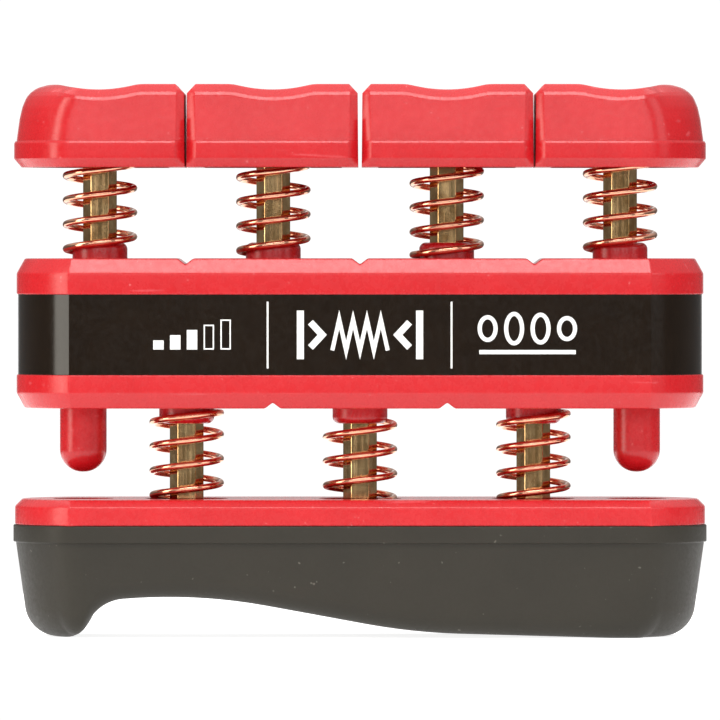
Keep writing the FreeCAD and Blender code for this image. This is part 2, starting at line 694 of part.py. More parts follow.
def failures():
    """Everything in the document that did not come out as a sound solid."""
    found = []
    for obj in DOC.Objects:
        if "Invalid" in obj.State or "Error" in obj.State:
            found.append(f"{obj.Name} is {obj.State}")
    for piece in PIECES:
        if piece.Shape.isNull() or not piece.Shape.isValid() or len(piece.Shape.Solids) != 1:
            found.append(f"{piece.Label} is not one valid solid")
        for feature in getattr(piece, "Group", []):
            if feature.TypeId not in ("PartDesign::Pad", "PartDesign::Pocket") or not feature.BaseFeature:
                continue
            gain = feature.Shape.Volume - feature.BaseFeature.Shape.Volume
            if (gain > 0) != feature.TypeId.endswith("Pad"):
                found.append(f"{feature.Name} changes the volume by {gain:.3f}")
    return found


for finger in range(1, 5):
    make_finger_set(finger)
make_upper_housing()
make_lower_housing()
make_label_band()
for stand in range(1, 4):
    make_palm_set(stand)
make_palm_cap()
make_palm_grip()
DOC.recompute()

faults = failures()
if faults:
    raise RuntimeError("; ".join(faults))
os.makedirs("parts", exist_ok=True)
for piece in PIECES:
    piece.Shape.exportStep(f"parts/{piece.Label}.step")
print(f"{len(PIECES)} sub-parts written")
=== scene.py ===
import json
import math

import bmesh
import bpy
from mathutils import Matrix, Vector
from mathutils.bvhtree import BVHTree


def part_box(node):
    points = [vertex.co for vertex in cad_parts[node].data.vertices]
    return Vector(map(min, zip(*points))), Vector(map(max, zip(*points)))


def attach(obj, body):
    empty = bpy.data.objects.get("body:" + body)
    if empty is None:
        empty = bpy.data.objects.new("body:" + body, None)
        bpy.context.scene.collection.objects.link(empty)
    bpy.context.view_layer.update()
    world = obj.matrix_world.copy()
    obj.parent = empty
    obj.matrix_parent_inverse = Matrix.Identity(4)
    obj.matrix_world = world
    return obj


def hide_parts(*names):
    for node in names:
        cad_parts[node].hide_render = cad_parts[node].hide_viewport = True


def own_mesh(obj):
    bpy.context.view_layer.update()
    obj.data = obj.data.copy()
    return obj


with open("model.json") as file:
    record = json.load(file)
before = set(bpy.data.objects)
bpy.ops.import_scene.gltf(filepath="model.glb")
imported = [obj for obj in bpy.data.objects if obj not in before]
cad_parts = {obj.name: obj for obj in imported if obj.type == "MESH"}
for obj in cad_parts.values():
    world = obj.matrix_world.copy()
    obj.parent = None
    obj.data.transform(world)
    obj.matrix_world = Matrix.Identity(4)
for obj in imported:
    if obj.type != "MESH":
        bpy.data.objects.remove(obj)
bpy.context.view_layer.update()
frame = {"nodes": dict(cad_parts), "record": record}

MM = 0.001
FINGERS = (1, 2, 3, 4)
STANDS = (1, 2, 3)
RANGE_SOCKETS = ("From Min", "From Max", "To Min", "To Max")
NOISE_SPREAD = (0.3, 0.7)
SPECK_SPREAD = (0.76, 0.81)

# ---------------------------------------------------------------- material helpers


class Nodes:
    """Builds one node material step by step."""

    def __init__(self, name):
        self.material = bpy.data.materials.new(name)
        self.material.use_nodes = True
        self.tree = self.material.node_tree
        self.shader = self.tree.nodes["Principled BSDF"]
        self.coords = self.tree.nodes.new("ShaderNodeTexCoord").outputs["Object"]

    def add(self, kind, **settings):
        node = self.tree.nodes.new(kind)
        for key, setting in settings.items():
            setattr(node, key, setting)
        return node

    def link(self, source, target):
        self.tree.links.new(source, target)

    def scaled(self, x, y, z, turn=0.0):
        """Object coordinates multiplied along each axis, after a turn about Y."""
        mapping = self.add("ShaderNodeMapping")
        mapping.inputs["Rotation"].default_value = (0, turn, 0)
        mapping.inputs["Scale"].default_value = (x, y, z)
        self.link(self.coords, mapping.inputs["Vector"])
        return mapping.outputs["Vector"]

    def noise(self, scale, detail=4.0, roughness=0.6, vector=None):
        node = self.add("ShaderNodeTexNoise")
        node.inputs["Scale"].default_value = scale
        node.inputs["Detail"].default_value = detail
        node.inputs["Roughness"].default_value = roughness
        self.link(vector or self.coords, node.inputs["Vector"])
        return node.outputs["Fac"]

    def remap(self, value, low, high, to_low=0.0, to_high=1.0):
        """The value stretched from one range to another, and held at its ends."""
        node = self.add("ShaderNodeMapRange")
        for socket, number in zip(RANGE_SOCKETS, (low, high, to_low, to_high)):
            node.inputs[socket].default_value = number
        self.link(value, node.inputs["Value"])
        return node.outputs["Result"]

    def math(self, operation, first, second):
        node = self.add("ShaderNodeMath", operation=operation)
        for socket, source in zip(node.inputs, (first, second)):
            if isinstance(source, (int, float)):
                socket.default_value = source
            else:
                self.link(source, socket)
        return node.outputs["Value"]

    def mix_colour(self, factor, first, second):
        node = self.add("ShaderNodeMix", data_type="RGBA")
        self.link(factor, node.inputs["Factor"])
        for name, source in (("A", first), ("B", second)):
            socket = [s for s in node.inputs if s.name == name and s.type == "RGBA"][0]
            if isinstance(source, tuple):
                socket.default_value = (*source, 1.0)
            else:
                self.link(source, socket)
        return [s for s in node.outputs if s.type == "RGBA"][0]

    def colour(self, source):
        self.link(source, self.shader.inputs["Base Color"])

    def set(self, **numbers):
        for name, number in numbers.items():
            self.shader.inputs[name.replace("_", " ")].default_value = number

    def bump(self, height, strength, distance, rounding=None):
        """Bump from a height, over edges rounded by the radius where one is given."""
        node = self.add("ShaderNodeBump")
        node.inputs["Strength"].default_value = strength
        node.inputs["Distance"].default_value = distance
        self.link(height, node.inputs["Height"])
        if rounding:
            bevel = self.add("ShaderNodeBevel", samples=4)
            bevel.inputs["Radius"].default_value = rounding
            self.link(bevel.outputs["Normal"], node.inputs["Normal"])
        self.link(node.outputs["Normal"], self.shader.inputs["Normal"])


# ---------------------------------------------------------------- materials


def red_plastic():
    """Glossy moulded red with faint flow marks, dust specks and hairline scratches."""
    n = Nodes("red_plastic")
    flow = n.remap(n.noise(180, 3), *NOISE_SPREAD)
    tone = n.mix_colour(flow, (0.50, 0.0075, 0.0115), (0.55, 0.0105, 0.0150))
    specks = n.remap(n.noise(1700, 1, 0.4), *SPECK_SPREAD)
    tone = n.mix_colour(n.math("MULTIPLY", specks, 0.35), tone, (0.85, 0.30, 0.30))
    scratch = n.remap(n.noise(700, 2, 0.5, n.scaled(0.10, 1.0, 1.6, 0.25)), 0.70, 0.74)
    n.colour(n.mix_colour(n.math("MULTIPLY", scratch, 0.16), tone, (0.95, 0.28, 0.30)))
    n.link(n.remap(n.noise(1400, 4), *NOISE_SPREAD, 0.23, 0.32), n.shader.inputs["Roughness"])
    n.bump(n.noise(900, 3), 0.10, 0.03 * MM, 0.12 * MM)
    n.set(IOR=1.50)
    return n.material


def black_label():
    """Black printed film under a clear satin laminate."""
    n = Nodes("black_label")
    cloud = n.remap(n.noise(300, 4), *NOISE_SPREAD)
    n.colour(n.mix_colour(cloud, (0.0075, 0.0036, 0.0012), (0.0105, 0.0054, 0.0022)))
    n.link(n.remap(n.noise(1800, 3), *NOISE_SPREAD, 0.12, 0.18), n.shader.inputs["Roughness"])
    n.bump(n.noise(500, 2), 0.05, 0.02 * MM, 0.1 * MM)
    n.set(IOR=1.45)
    return n.material


def white_print():
    """Slightly uneven white ink."""
    n = Nodes("white_print")
    cloud = n.remap(n.noise(1500, 3), *NOISE_SPREAD)
    n.colour(n.mix_colour(cloud, (0.76, 0.76, 0.74), (0.86, 0.86, 0.84)))
    n.link(n.remap(n.noise(2500, 2), *NOISE_SPREAD, 0.35, 0.5), n.shader.inputs["Roughness"])
    return n.material


def grip_plastic():
    """Matte warm dark grey with a fine grain and a few pale scuffs."""
    n = Nodes("grip_plastic")
    cloud = n.remap(n.noise(110, 3), *NOISE_SPREAD)
    tone = n.mix_colour(cloud, (0.0175, 0.0145, 0.0085), (0.0215, 0.0178, 0.0108))
    grain = n.noise(4200, 2, 0.7)
    dust = n.remap(n.noise(1600, 1, 0.4), *SPECK_SPREAD)
    n.colour(n.mix_colour(n.math("MULTIPLY", dust, 0.40), tone, (0.18, 0.17, 0.14)))
    n.link(n.remap(n.noise(2400, 3), *NOISE_SPREAD, 0.42, 0.55), n.shader.inputs["Roughness"])
    n.bump(grain, 0.30, 0.02 * MM, 0.15 * MM)
    n.set(IOR=1.40)
    return n.material


def drawn_metal(name, first, second, patches, smooth, rough):
    """Plated metal in two tones, with fine lines along Z and a roughness between two values."""
    n = Nodes(name)
    lines = n.noise(2600, 3, 0.6, n.scaled(1.0, 1.0, 0.05))
    n.colour(n.mix_colour(n.remap(n.noise(patches, 3), 0.35, 0.68), first, second))
    n.link(n.remap(lines, *NOISE_SPREAD, smooth, rough), n.shader.inputs["Roughness"])
    n.bump(lines, 0.14, 0.02 * MM, 0.08 * MM)
    n.set(Metallic=1.0)
    return n.material


MATERIALS = {
    "red_plastic": red_plastic(),
    "black_label": black_label(),
    "grip_plastic": grip_plastic(),
    "brass_rod": drawn_metal("brass_rod", (0.92, 0.62, 0.30), (0.54, 0.29, 0.11), 420, 0.08, 0.20),
    # The spring wire's two tones are redder than its gold plating: partly its own warm colour, partly a painted
    # reflection of the red plastic round it.
    "spring_wire": drawn_metal("spring_wire", (0.86, 0.45, 0.30), (0.74, 0.34, 0.21), 700, 0.08, 0.18),
    "zinc_steel": drawn_metal("zinc_steel", (0.52, 0.52, 0.51), (0.68, 0.68, 0.66), 900, 0.22, 0.38),
}
WHITE_PRINT = white_print()

SLOT_OF = {part["node"]: part["material_slot"] for part in frame["record"]["subparts"]}
for name, node in frame["nodes"].items():
    node.data.materials.clear()
    node.data.materials.append(MATERIALS[SLOT_OF[name]])


# ---------------------------------------------------------------- mesh helpers

WELD = 1e-6
SHORTEST_EDGE = 1e-7
CORNER_STEPS = 8
ARC_STEPS = 22


def mesh_of(build, name, sharp=35.0):
    """Mesh of a bmesh, which is used up: smooth faces, with creases above an angle in degrees."""
    bmesh.ops.remove_doubles(build, verts=build.verts, dist=WELD)
    bmesh.ops.dissolve_degenerate(build, edges=build.edges, dist=SHORTEST_EDGE)
    bmesh.ops.recalc_face_normals(build, faces=build.faces)
    mesh = bpy.data.meshes.new(name)
    build.to_mesh(mesh)
    build.free()
    mesh.shade_smooth()
    mesh.set_sharp_from_angle(angle=math.radians(sharp))
    return mesh


def applied(mesh, add_modifiers):
    """The mesh with modifiers applied to it."""
    carrier = bpy.data.objects.new(mesh.name + "_work", mesh)
    bpy.context.scene.collection.objects.link(carrier)
    add_modifiers(carrier)
    graph = bpy.context.evaluated_depsgraph_get()
    result = bpy.data.meshes.new_from_object(carrier.evaluated_get(graph), depsgraph=graph)
    result.name = mesh.name
    bpy.data.objects.remove(carrier)
    return result


def weighted(mesh):
    """The mesh with its normals weighted by face area, up to its creases."""
    def add(carrier):
        modifier = carrier.modifiers.new("normals", "WEIGHTED_NORMAL")
        modifier.keep_sharp = True
        modifier.weight = 90

    return applied(mesh, add)


def new_piece(name, mesh, material, body, replaced=()):
    """Makes an object of a mesh, rides it on a body and lets it stand for CAD nodes."""
    piece = bpy.data.objects.new(name, mesh)
    bpy.context.scene.collection.objects.link(piece)
    mesh.materials.clear()
    mesh.materials.append(material)
    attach(piece, body)
    if replaced:
        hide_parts(*replaced)
    return piece


def mix(first, second, share):
    """The value at a share of the way from the first to the second."""
    return first + (second - first) * share


def soft_floor(value, blend):
    """The value where it is positive and nearly zero below, with a smooth turn between the two."""
    return max(value, 0.0) + blend * math.log1p(math.exp(-abs(value) / blend))


def smoothstep(value, low, high):
    """0 below a range, 1 above it, and a smooth rise between."""
    share = min(max((value - low) / (high - low), 0.0), 1.0)
    return share * share * (3 - 2 * share)


def mirrored_loft(build, rings):
    """Closed skin over loops, each given as its front half and mirrored in y = 0, with a cap at each end."""
    loops = []
    for ring in rings:
        front = [build.verts.new(p) for p in ring]
        back = [build.verts.new((p[0], -p[1], p[2])) for p in ring[1:-1]]
        loops.append((front, back))
    for (front_a, back_a), (front_b, back_b) in zip(loops, loops[1:]):
        around_a = front_a + back_a[::-1]
        around_b = front_b + back_b[::-1]
        count = len(around_a)
        for i in range(count):
            j = (i + 1) % count
            build.faces.new((around_a[i], around_a[j], around_b[j], around_b[i]))
    for front, back in (loops[0], loops[-1]):
        build.faces.new((front[0], front[1], back[0]))
        for i in range(len(back) - 1):
            build.faces.new((front[i + 1], front[i + 2], back[i + 1], back[i]))
        build.faces.new((front[-2], front[-1], back[-1]))


def closed_loft(build, rings):
    """Skin that joins whole loops, the last one back to the first."""
    loops = [[build.verts.new(p) for p in ring] for ring in rings]
    for first, second in zip(loops, loops[1:] + loops[:1]):
        count = len(first)
        for i in range(count):
            j = (i + 1) % count
            build.faces.new((first[i], first[j], second[j], second[i]))


class Rim:
    """One point of a plan outline: its place, the way inwards, its share in a rounded end and its kind."""

    def __init__(self, x, y, inward, end=0.0, kind="side"):
        self.x, self.y, self.inward, self.end, self.kind = x, y, inward, end, kind

    def inset(self, distance):
        return self.x + self.inward[0] * distance, self.y + self.inward[1] * distance


def round_end(tip_x, half, bulge, corner, way):
    """Front half of a rounded end, from the long side to the tip: a soft corner and then a shallow arc."""
    radius = (half ** 2 + bulge ** 2) / (2 * bulge)
    centre = tip_x - radius
    soft_x = centre + math.sqrt((radius - corner) ** 2 - (half - corner) ** 2)
    turn = math.atan2(-(half - corner), soft_x - centre)
    rims = []

    def add(x, y, angle, end):
        rims.append(Rim(way * x, y, (-way * math.cos(angle), -math.sin(angle)), end, "end"))

    for step in range(CORNER_STEPS + 1):
        share = step / CORNER_STEPS
        angle = mix(-math.pi / 2, turn, share)
        add(soft_x + corner * math.cos(angle), -(half - corner) + corner * math.sin(angle), angle, share)
    for step in range(1, ARC_STEPS + 1):
        angle = turn * (1 - step / ARC_STEPS)
        add(centre + radius * math.cos(angle), radius * math.sin(angle), angle, 1.0)
    return rims


# ---------------------------------------------------------------- finger buttons

BUTTON_CORNER = 5.0 * MM
BUTTON_BULGE = 6.1 * MM
# Which way a button's rounded end points; the others have none.
ROUNDED_WAY = {1: -1, 4: 1}
# Square-cut ends: the bevel of the upright corners, the lean of the end and the slope at its top.
FACET = 1.25 * MM
FACET_LEAN = 0.35
FACET_LEAN_REACH = 0.6 * MM
END_GAP = 0.02 * MM
END_LEAN_PER_HEIGHT = 0.009
SLOPE_RUN = 1.1 * MM
SLOPE_RISE = 1.2 * MM
CROWN_TOP = 9.9 * MM
# Finger dip, which starts at one height on the side wall and is whole at another.
DIP_DEPTH = 0.65 * MM
DIP_RADIUS = 17.0 * MM
DIP_BLEND = 0.07 * MM
DIP_HALF = 6.0 * MM
DIP_START = 4.0 * MM
DIP_WHOLE = 8.56 * MM
# Columns of the mesh: over half the dip, over the whole top, and the space left at its ends.
DIP_COLUMNS = 24
TOP_COLUMNS = 12
COLUMN_SPACE = 0.2 * MM
# Hollow underside and the boss that takes the rod.
ROOF = 7.6 * MM
WALL = 2.0 * MM
BOSS_RADIUS = 3.3 * MM
BOSS_FOOT = 2.0 * MM
BOSS_CHAMFER = 0.2 * MM
BOSS_OVERLAP = 0.2 * MM
BOSS_SIDES = 48
ROD_HALF_FLATS = 1.8 * MM

# Side wall of a button from its foot to its top, in mm: inset, height and the radius of the corner there.
BUTTON_SIDE = (
    (1.20, 0.00, 0.0), (0.90, 0.00, 0.12), (0.00, 1.05, 0.16), (0.00, 2.86, 0.06), (0.14, 3.12, 0.05),
    (0.30, 3.14, 0.05), (0.62, 8.54, 0.25), (0.86, 8.98, 0.25), (1.78, 9.90, 0.50), (2.06, 9.90, 0.0),
)
# Extra inset of the rounded end over the side wall, at heights above the foot, in mm.
END_EXTRA = (
    (0.0, 0.0), (3.3, 0.0), (5.8, 0.20), (7.2, 0.44), (8.2, 0.80), (8.5, 0.96), (8.8, 1.08), (9.13, 1.19),
    (9.4, 1.30), (9.6, 1.54), (9.75, 1.90), (9.85, 2.18), (9.9, 2.35),
)
LONGEST_RUN = 0.35 * MM
ARC_SHARE = 0.48
# Square-cut end: where its facet's two bends are softened, as shares of the facet, and the stops on the flat.
BEND_SHARES = (0.0, 0.06, 0.12)
FLAT_SHARES = (0.25, 0.5, 0.75, 1.0)


def rounded_profile(corners, steps=4):
    """Points along a line of (inset, height, radius) corners, each turned into an arc of its radius."""
    points = [Vector(c[:2]) * MM for c in corners]
    out = [points[0]]
    for before, here, after, corner in zip(points, points[1:], points[2:], corners[1:]):
        first, second = (before - here).normalized(), (after - here).normalized()
        half = first.angle(second) / 2
        longest = ARC_SHARE * min((before - here).length, (after - here).length)
        reach = min(corner[2] * MM / math.tan(half), longest)
        for step in range(steps + 1):
            share = step / steps
            start, stop = here + first * reach, here + second * reach
            out.append((start.lerp(here, share)).lerp(here.lerp(stop, share), share))
    out.append(points[-1])
    filled = [out[0]]
    for point in out[1:]:
        last = filled[-1]
        parts = max(math.ceil((point - last).length / LONGEST_RUN), 1)
        filled += [last.lerp(point, part / parts) for part in range(1, parts + 1)]
    return [(p.x, p.y) for p in filled]


def read_table(table, at):
    """Value of a table of (place, value) pairs at a place, with straight runs between the pairs."""
    for (low, first), (high, second) in zip(table, table[1:]):
        if at <= high:
            return mix(first, second, max(at - low, 0.0) / (high - low))
    return table[-1][1]


def dip(x):
    """Depth of the finger dip at x from the rod."""
    return soft_floor(DIP_DEPTH - x * x / (2 * DIP_RADIUS), DIP_BLEND)


def flat_end(edge, half, way):
    """Front half of a square-cut end: the upright corner facet and then the flat end."""
    rims = []

    def facet(run, rise):
        rims.append(Rim(edge - way * FACET * run, -half + FACET * rise, (0, 1), 0, "facet"))

    for share in BEND_SHARES:
        facet(1 - share, share * share * 2)
    facet(0.5, 0.5)
    for share in reversed(BEND_SHARES):
        facet(share * share * 2, 1 - share)
    for share in FLAT_SHARES:
        rims.append(Rim(edge, (-half + FACET) * (1 - share), (0, 0), 0, "flat"))
    return rims


def button_end(edge, half, way, rounded):
    """Front half of the end that points one way."""
    if rounded == way:
        return round_end(way * edge, half, BUTTON_BULGE, BUTTON_CORNER, way)
    return flat_end(edge, half, way)


def button_outline(low, high, rod_x, rounded):
    """Front half of a button's plan, from its left tip to its right one."""
    half = -low.y
    left = button_end(low.x, half, -1, rounded)
    right = button_end(high.x, half, 1, rounded)
    start, stop = left[0].x, right[0].x
    places = set()
    for step in range(-DIP_COLUMNS, DIP_COLUMNS + 1):
        places.add(round(rod_x + step * DIP_HALF / DIP_COLUMNS, 7))
    for step in range(1, TOP_COLUMNS):
        places.add(round(mix(start, stop, step / TOP_COLUMNS), 7))
    inside = sorted(p for p in places if start + COLUMN_SPACE < p < stop - COLUMN_SPACE)
    middle = [Rim(x, -half, (0, 1)) for x in inside]
    return left[::-1] + middle + right


def boss_mesh(name, rod_x, foot):
    """Round boss with a hexagonal socket for the rod."""
    turns = [2 * math.pi * i / BOSS_SIDES for i in range(BOSS_SIDES)]
    outer = [BOSS_RADIUS] * BOSS_SIDES
    chamfered = [BOSS_RADIUS - BOSS_CHAMFER] * BOSS_SIDES
    socket = [ROD_HALF_FLATS / math.cos(turn % (math.pi / 3) - math.pi / 6) for turn in turns]
    roof = ROOF + BOSS_OVERLAP

    def ring(radii, height):
        polar = zip(radii, turns)
        return [(rod_x + r * math.cos(turn), r * math.sin(turn), foot + height) for r, turn in polar]

    build = bmesh.new()
    closed_loft(build, [
        ring(outer, roof), ring(outer, BOSS_FOOT + BOSS_CHAMFER), ring(chamfered, BOSS_FOOT),
        ring(socket, BOSS_FOOT), ring(socket, roof),
    ])
    return mesh_of(build, name)


def make_button(number):
    """Moulded skin of one button, with its hollow underside and its boss."""
    node = f"finger_button_{number}"
    low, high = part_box(node)
    rod_low, rod_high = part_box(f"finger_rod_{number}")
    rod_x = (rod_low.x + rod_high.x) / 2
    rounded = ROUNDED_WAY.get(number, 0)
    outline = button_outline(low, high, rod_x, rounded)
    half = -low.y
    edges = {-1: low.x, 1: high.x}

    def wall_plan(rim, way, side, end):
        """Plan place of a rim point, moved in by one distance on the sides and another on a rounded end."""
        x, y = rim.inset(mix(side, end, rim.end))
        if rim.kind == "facet":
            from_front = rim.y + half
            left = 1 - from_front / FACET
            x = rim.x + way * FACET_LEAN * min(side, FACET_LEAN_REACH) * left
            y = max(rim.y + side * max(left, 0.0), -half + max(side, from_front))
        if rim.kind == "flat":
            y = min(max(y, -half + side + END_GAP), 0.0) if rim.y < -WELD else 0.0
        return x, y

    def wall_point(rim, height, side, end):
        """Point of the outer wall: the plan place with the end's lean, the finger dip and the end's slope."""
        way = -1 if rim.x < rod_x else 1
        x, y = wall_plan(rim, way, side, end)
        if rim.kind in ("facet", "flat"):
            x -= way * height * END_LEAN_PER_HEIGHT
        z = height - dip(x - rod_x) * smoothstep(height, DIP_START, DIP_WHOLE)
        beyond = abs(x - edges[way])
        if rounded != way and beyond < SLOPE_RUN:
            z = min(z, CROWN_TOP - (SLOPE_RUN - beyond) * SLOPE_RISE / SLOPE_RUN)
        return x, y, low.z + z

    hollow = []
    for rim in outline:
        x, y = rim.inset(WALL)
        if rim.kind in ("facet", "flat"):
            way = -1 if rim.x < rod_x else 1
            x = edges[way] - way * WALL
            y = -(half - WALL) * min(max(-rim.y / (half - FACET), 0.0), 1.0)
        hollow.append((x, y))
    rings = [[(x, y, low.z + z) for x, y in hollow] for z in (ROOF, 0.0)]
    for side, height in rounded_profile(BUTTON_SIDE):
        end = side + read_table(END_EXTRA, height / MM) * MM
        rings.append([wall_point(rim, height, side, end) for rim in outline])
    build = bmesh.new()
    mirrored_loft(build, rings)
    shell = mesh_of(build, node + "_moulded")
    boss = boss_mesh(node + "_boss", rod_x, low.z)
    build = bmesh.new()
    build.from_mesh(shell)
    build.from_mesh(boss)
    joined = weighted(mesh_of(build, node + "_moulded", sharp=40))
    new_piece(node + "_moulded", joined, MATERIALS["red_plastic"], f"finger_{number}", (node,))


for finger in FINGERS:
    make_button(finger)

# ---------------------------------------------------------------- palm grip

GRIP_BULGE = 6.7 * MM
GRIP_CORNER = 6.0 * MM
GRIP_LIP = 2.05 * MM
GRIP_WALL = 2.2 * MM
CAVITY_FLOOR = 7.1 * MM
SIDE_ROUND, END_ROUND = 2.4 * MM, 4.0 * MM
SIDE_LEAN, END_LEAN = math.radians(5.0), math.radians(8.0)
BODY_INSET = 0.30 * MM
# The underside rests on the floor up to these distances from its left and right tips, bevels apart.
LEVEL_LEFT, LEVEL_RIGHT = 6.2 * MM, 11.0 * MM
PROBE_START = -10.0 * MM
GRIP_COLUMNS = 240
GRIP_ROUND_STEPS = 12
# Rows of the side wall as shares of its rise, and the lip above it as (inset, height above the ledge) in mm.
WALL_RISES = (0.0, 0.25, 0.5, 0.75, 0.94, 0.985)
LIP_ROWS = (
    (0.31, -0.03), (0.26, 0.0), (0.05, 0.02), (0.0, 0.09), (0.0, 1.90), (0.05, 2.01), (0.14, 2.05),
)


def make_grip():
    """Moulded skin of the grip: a wavy underside, a rounded lower edge, a leaning wall, a lip and a cavity."""
    low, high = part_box("palm_grip")
    half = -low.y
    top = high.z
    ledge = top - GRIP_LIP
    tree = BVHTree.FromObject(frame["nodes"]["palm_grip"], bpy.context.evaluated_depsgraph_get())

    def underside(x):
        """Height of the grip's underside at x, without the bevels of its ends."""
        if not low.x + LEVEL_LEFT < x < high.x - LEVEL_RIGHT:
            return 0.0
        hit = tree.ray_cast(Vector((x, 0.0, PROBE_START)), Vector((0, 0, 1)))[0]
        return max(hit.z, 0.0)

    left = round_end(-low.x, half, GRIP_BULGE, GRIP_CORNER, -1)
    right = round_end(high.x, half, GRIP_BULGE, GRIP_CORNER, 1)
    start, stop = left[0].x, right[0].x
    middle = [Rim(mix(start, stop, i / GRIP_COLUMNS), -half, (0, 1)) for i in range(1, GRIP_COLUMNS)]
    outline = left[::-1] + middle + right

    def surface(rim, turn, rise=0.0):
        """Point at a share of the turn of the rounded lower edge, or of the rise of the wall above it."""
        radius = mix(SIDE_ROUND, END_ROUND, rim.end)
        lean = mix(SIDE_LEAN, END_LEAN, rim.end)
        full = math.pi / 2 - lean
        angle = full * turn
        short = BODY_INSET + radius * (math.tan(full / 2) - math.sin(angle))
        foot = underside(rim.inset(short + ledge * math.tan(lean))[0])
        z = foot + radius * (1 - math.cos(angle))
        if rise > 0.0:
            z = mix(z, ledge, rise)
            return (*rim.inset(BODY_INSET + (ledge - z) * math.tan(lean)), z)
        return (*rim.inset(short + (ledge - foot) * math.tan(lean)), z)

    rings = []
    for step in range(GRIP_ROUND_STEPS):
        rings.append([surface(rim, step / GRIP_ROUND_STEPS) for rim in outline])
    for rise in WALL_RISES:
        rings.append([surface(rim, 1.0, rise) for rim in outline])
    for inset, height in LIP_ROWS:
        rings.append([(*rim.inset(inset * MM), ledge + height * MM) for rim in outline])
    for height in (top, CAVITY_FLOOR):
        rings.append([(*rim.inset(GRIP_WALL), height) for rim in outline])
    build = bmesh.new()
    mirrored_loft(build, rings)
    mesh = weighted(mesh_of(build, "palm_grip_moulded", sharp=55))
    new_piece("palm_grip_moulded", mesh, MATERIALS["grip_plastic"], "palm", ("palm_grip",))


make_grip()

# ---------------------------------------------------------------- shells, cap and rods with softened edges

SOFT_WIDTH = 0.16 * MM
SHELL_SEGMENTS, ROD_SEGMENTS = 2, 3
HOUSING_MARGIN, CAP_MARGIN = 1.05 * MM, 1.0 * MM
LONG_EDGE = 10 * MM
FLAT_ANGLE = math.radians(0.6)
EDGE_ANGLE = math.radians(18)
# A bar's end in plan: the length of its arc along x, and the distance from its tip to the middle of its curve.
END_ARC = 6.8 * MM
END_MIDDLE = 12.6 * MM


def softened(node, body, segments, keep):
    """Copy of a CAD node with the edges that pass a test rounded off."""
    build = bmesh.new()
    build.from_mesh(frame["nodes"][node].data)
    bmesh.ops.remove_doubles(build, verts=build.verts, dist=WELD)
    bmesh.ops.dissolve_limit(build, angle_limit=FLAT_ANGLE, verts=build.verts, edges=build.edges)
    chosen = []
    for edge in build.edges:
        if len(edge.link_faces) != 2:
            continue
        if edge.calc_face_angle(0.0) > EDGE_ANGLE and keep(edge):
            chosen.append(edge)
    bmesh.ops.bevel(build, geom=chosen, offset=SOFT_WIDTH, offset_type="OFFSET", segments=segments, profile=0.5,
                    affect="EDGES", clamp_overlap=False)
    mesh = mesh_of(build, node + "_finished", sharp=32)
    new_piece(node + "_finished", weighted(mesh), MATERIALS[SLOT_OF[node]], body, (node,))


def outside(node, margin):
    """Test for edges that lie on the outer wall, top or bottom face of a bar-shaped node."""
    low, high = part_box(node)

    def test(edge):
        points = [v.co for v in edge.verts]
        near_wall = all(abs(p.y) > high.y - margin or abs(p.x) > high.x - END_ARC - margin for p in points)
        reach = [math.hypot(max(abs(p.x) - (high.x - END_MIDDLE), 0.0), p.y) for p in points]
        return near_wall and min(reach) > high.y - margin

    return test


for shell in ("upper_housing", "lower_housing"):
    softened(shell, "housing", SHELL_SEGMENTS, outside(shell, HOUSING_MARGIN))
softened("palm_cap", "palm", SHELL_SEGMENTS, outside("palm_cap", CAP_MARGIN))


def upright(edge):
    """Test for the long edges of a rod."""
    along = (edge.verts[1].co - edge.verts[0].co).normalized()
    return abs(along.z) > 0.99 and edge.calc_length() > LONG_EDGE


for finger in FINGERS:
    softened(f"finger_rod_{finger}", f"finger_{finger}", ROD_SEGMENTS, upright)
for stand in STANDS:
    softened(f"palm_rod_{stand}", "palm", ROD_SEGMENTS, upright)

# ---------------------------------------------------------------- springs

WIRE_RADIUS = 0.4 * MM
COIL_RADIUS = 4.1 * MM
COIL_PITCH = 2.92 * MM
POINTS_PER_TURN = 48
WIRE_SIDES = 20
WIRE_TIP = 0.35
SEAT_BLEND = 0.15 * MM
# A further turn goes in at the foot past this share of a pitch, and at the top this far short of a whole one.
FOOT_SPARE, TOP_SPARE = 0.75, 0.1
# Height above the spring's foot at which its first strand crosses the front, from the photo.
FINGER_LIFTS = (1.86 * MM, 1.66 * MM, 0.96 * MM, 2.10 * MM)
PALM_LIFTS = (2.80 * MM, 1.00 * MM, 2.46 * MM)


def tube_mesh(name, path, radius):
    """Round wire along a path of close points, with domed ends."""
    build = bmesh.new()
    rings = []
    up = Vector((0, 0, 1))
    for index, point in enumerate(path):
        along = (path[min(index + 1, len(path) - 1)] - path[max(index - 1, 0)]).normalized()
        side = along.cross(up).normalized()
        over = side.cross(along)
        ring = []
        for step in range(WIRE_SIDES):
            angle = 2 * math.pi * step / WIRE_SIDES
            ring.append(build.verts.new(point + radius * (math.cos(angle) * side + math.sin(angle) * over)))
        rings.append(ring)
    for first, second in zip(rings, rings[1:]):
        for step in range(WIRE_SIDES):
            following = (step + 1) % WIRE_SIDES
            build.faces.new((first[step], first[following], second[following], second[step]))
    for ring, end, inner in ((rings[0], path[0], path[1]), (rings[-1], path[-1], path[-2])):
        tip = build.verts.new(end + (end - inner).normalized() * radius * WIRE_TIP)
        for step in range(WIRE_SIDES):
            build.faces.new((ring[step], ring[(step + 1) % WIRE_SIDES], tip))
    return mesh_of(build, name, sharp=50)


